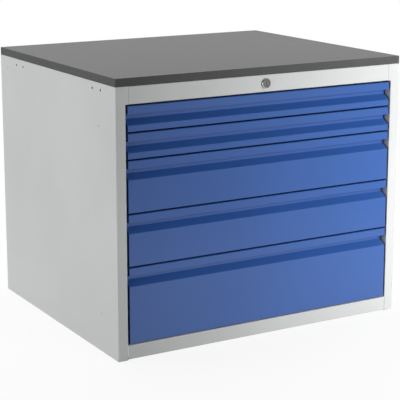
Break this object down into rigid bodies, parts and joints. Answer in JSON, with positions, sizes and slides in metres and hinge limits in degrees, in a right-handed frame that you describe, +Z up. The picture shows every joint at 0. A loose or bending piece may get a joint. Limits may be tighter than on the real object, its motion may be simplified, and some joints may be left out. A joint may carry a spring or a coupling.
{
  "type": "multi-drawer cabinet",
  "caption": "Floor-standing steel workshop cabinet with full-extension drawers, bent-in full-width grips, a central lock and a flat worktop.",
  "frame": {"origin": "on the floor under the middle of the cabinet", "axes": "+X to the right of someone facing the drawers, +Y to the back, +Z up; drawers open along -Y"},
  "size_m": [0.95, 0.805, 0.79],
  "materials": {
    "body_grey": "satin powder coat",
    "drawer_blue": "satin powder coat",
    "tray_grey": "satin powder coat",
    "worktop_core": "raw board",
    "worktop_face": "fine textured laminate",
    "worktop_edge": "matt",
    "zinc_steel": "bright zinc",
    "cage_steel": "bright zinc",
    "lock_nickel": "satin nickel",
    "black_plastic": "matt"
  },
  "bodies": {
    "carcass": {"left_side_panel": "body_grey", "right_side_panel": "body_grey", "back_panel": "body_grey", "base_pan": "body_grey", "top_rail": "body_grey", "rear_rail": "body_grey", "left_slide_posts": "body_grey", "right_slide_posts": "body_grey", "worktop_board": "worktop_core", "worktop_laminate": "worktop_face", "worktop_edge_band": "worktop_edge", "worktop_screws": "zinc_steel", "lock_barrel": "lock_nickel", "lock_nut": "lock_nickel", "rod_bush": "black_plastic", "bar_guides": "black_plastic", "rail_screws": "zinc_steel", "cabinet_rails_1": "zinc_steel", "cabinet_rails_2": "zinc_steel", "cabinet_rails_3": "zinc_steel", "cabinet_rails_4": "zinc_steel", "cabinet_rails_5": "zinc_steel"},
    "drawer_1": {"drawer_front_1": "drawer_blue", "drawer_tray_1": "tray_grey", "drawer_rails_1": "zinc_steel"},
    "mid_slides_1": {"mid_rails_1": "zinc_steel"},
    "outer_cages_1": {"outer_ball_cages_1": "cage_steel"},
    "inner_cages_1": {"inner_ball_cages_1": "cage_steel"},
    "drawer_2": {"drawer_front_2": "drawer_blue", "drawer_tray_2": "tray_grey", "drawer_rails_2": "zinc_steel"},
    "mid_slides_2": {"mid_rails_2": "zinc_steel"},
    "outer_cages_2": {"outer_ball_cages_2": "cage_steel"},
    "inner_cages_2": {"inner_ball_cages_2": "cage_steel"},
    "drawer_3": {"drawer_front_3": "drawer_blue", "drawer_tray_3": "tray_grey", "drawer_rails_3": "zinc_steel"},
    "mid_slides_3": {"mid_rails_3": "zinc_steel"},
    "outer_cages_3": {"outer_ball_cages_3": "cage_steel"},
    "inner_cages_3": {"inner_ball_cages_3": "cage_steel"},
    "drawer_4": {"drawer_front_4": "drawer_blue", "drawer_tray_4": "tray_grey", "drawer_rails_4": "zinc_steel"},
    "mid_slides_4": {"mid_rails_4": "zinc_steel"},
    "outer_cages_4": {"outer_ball_cages_4": "cage_steel"},
    "inner_cages_4": {"inner_ball_cages_4": "cage_steel"},
    "drawer_5": {"drawer_front_5": "drawer_blue", "drawer_tray_5": "tray_grey", "drawer_rails_5": "zinc_steel"},
    "mid_slides_5": {"mid_rails_5": "zinc_steel"},
    "outer_cages_5": {"outer_ball_cages_5": "cage_steel"},
    "inner_cages_5": {"inner_ball_cages_5": "cage_steel"},
    "lock_cylinder": {"lock_plug": "lock_nickel", "lock_rod": "zinc_steel", "lock_crank": "zinc_steel"},
    "lock_bar": {"locking_bar": "zinc_steel"}
  },
  "joints": [
    {"name": "drawer_1_slide", "type": "slide", "parent": "carcass", "child": "drawer_1", "axis": [0, -1, 0], "range_m": [0, 0.7]},
    {"name": "mid_slides_1_slide", "type": "slide", "parent": "carcass", "child": "mid_slides_1", "axis": [0, -1, 0], "range_m": [0, 0.35]},
    {"name": "outer_cages_1_slide", "type": "slide", "parent": "carcass", "child": "outer_cages_1", "axis": [0, -1, 0], "range_m": [0, 0.175]},
    {"name": "inner_cages_1_slide", "type": "slide", "parent": "carcass", "child": "inner_cages_1", "axis": [0, -1, 0], "range_m": [0, 0.525]},
    {"name": "drawer_2_slide", "type": "slide", "parent": "carcass", "child": "drawer_2", "axis": [0, -1, 0], "range_m": [0, 0.7]},
    {"name": "mid_slides_2_slide", "type": "slide", "parent": "carcass", "child": "mid_slides_2", "axis": [0, -1, 0], "range_m": [0, 0.35]},
    {"name": "outer_cages_2_slide", "type": "slide", "parent": "carcass", "child": "outer_cages_2", "axis": [0, -1, 0], "range_m": [0, 0.175]},
    {"name": "inner_cages_2_slide", "type": "slide", "parent": "carcass", "child": "inner_cages_2", "axis": [0, -1, 0], "range_m": [0, 0.525]},
    {"name": "drawer_3_slide", "type": "slide", "parent": "carcass", "child": "drawer_3", "axis": [0, -1, 0], "range_m": [0, 0.7]},
    {"name": "mid_slides_3_slide", "type": "slide", "parent": "carcass", "child": "mid_slides_3", "axis": [0, -1, 0], "range_m": [0, 0.35]},
    {"name": "outer_cages_3_slide", "type": "slide", "parent": "carcass", "child": "outer_cages_3", "axis": [0, -1, 0], "range_m": [0, 0.175]},
    {"name": "inner_cages_3_slide", "type": "slide", "parent": "carcass", "child": "inner_cages_3", "axis": [0, -1, 0], "range_m": [0, 0.525]},
    {"name": "drawer_4_slide", "type": "slide", "parent": "carcass", "child": "drawer_4", "axis": [0, -1, 0], "range_m": [0, 0.7]},
    {"name": "mid_slides_4_slide", "type": "slide", "parent": "carcass", "child": "mid_slides_4", "axis": [0, -1, 0], "range_m": [0, 0.35]},
    {"name": "outer_cages_4_slide", "type": "slide", "parent": "carcass", "child": "outer_cages_4", "axis": [0, -1, 0], "range_m": [0, 0.175]},
    {"name": "inner_cages_4_slide", "type": "slide", "parent": "carcass", "child": "inner_cages_4", "axis": [0, -1, 0], "range_m": [0, 0.525]},
    {"name": "drawer_5_slide", "type": "slide", "parent": "carcass", "child": "drawer_5", "axis": [0, -1, 0], "range_m": [0, 0.7]},
    {"name": "mid_slides_5_slide", "type": "slide", "parent": "carcass", "child": "mid_slides_5", "axis": [0, -1, 0], "range_m": [0, 0.35]},
    {"name": "outer_cages_5_slide", "type": "slide", "parent": "carcass", "child": "outer_cages_5", "axis": [0, -1, 0], "range_m": [0, 0.175]},
    {"name": "inner_cages_5_slide", "type": "slide", "parent": "carcass", "child": "inner_cages_5", "axis": [0, -1, 0], "range_m": [0, 0.525]},
    {"name": "lock_turn", "type": "hinge", "parent": "carcass", "child": "lock_cylinder", "pos_m": [0, -0.4, 0.7425], "axis": [0, 1, 0], "range_deg": [0, 90]},
    {"name": "lock_bar_lift", "type": "slide", "parent": "carcass", "child": "lock_bar", "axis": [0, 0, 1], "range_m": [0, 0.01414]}
  ],
  "couplings": [
    {"joint": "mid_slides_1_slide", "follows": "drawer_1_slide", "ratio": 0.5},
    {"joint": "outer_cages_1_slide", "follows": "drawer_1_slide", "ratio": 0.25},
    {"joint": "inner_cages_1_slide", "follows": "drawer_1_slide", "ratio": 0.75},
    {"joint": "mid_slides_2_slide", "follows": "drawer_2_slide", "ratio": 0.5},
    {"joint": "outer_cages_2_slide", "follows": "drawer_2_slide", "ratio": 0.25},
    {"joint": "inner_cages_2_slide", "follows": "drawer_2_slide", "ratio": 0.75},
    {"joint": "mid_slides_3_slide", "follows": "drawer_3_slide", "ratio": 0.5},
    {"joint": "outer_cages_3_slide", "follows": "drawer_3_slide", "ratio": 0.25},
    {"joint": "inner_cages_3_slide", "follows": "drawer_3_slide", "ratio": 0.75},
    {"joint": "mid_slides_4_slide", "follows": "drawer_4_slide", "ratio": 0.5},
    {"joint": "outer_cages_4_slide", "follows": "drawer_4_slide", "ratio": 0.25},
    {"joint": "inner_cages_4_slide", "follows": "drawer_4_slide", "ratio": 0.75},
    {"joint": "mid_slides_5_slide", "follows": "drawer_5_slide", "ratio": 0.5},
    {"joint": "outer_cages_5_slide", "follows": "drawer_5_slide", "ratio": 0.25},
    {"joint": "inner_cages_5_slide", "follows": "drawer_5_slide", "ratio": 0.75},
    {"joint": "lock_turn", "follows": "lock_bar_lift", "rad_per_m": 111.07}
  ]
}
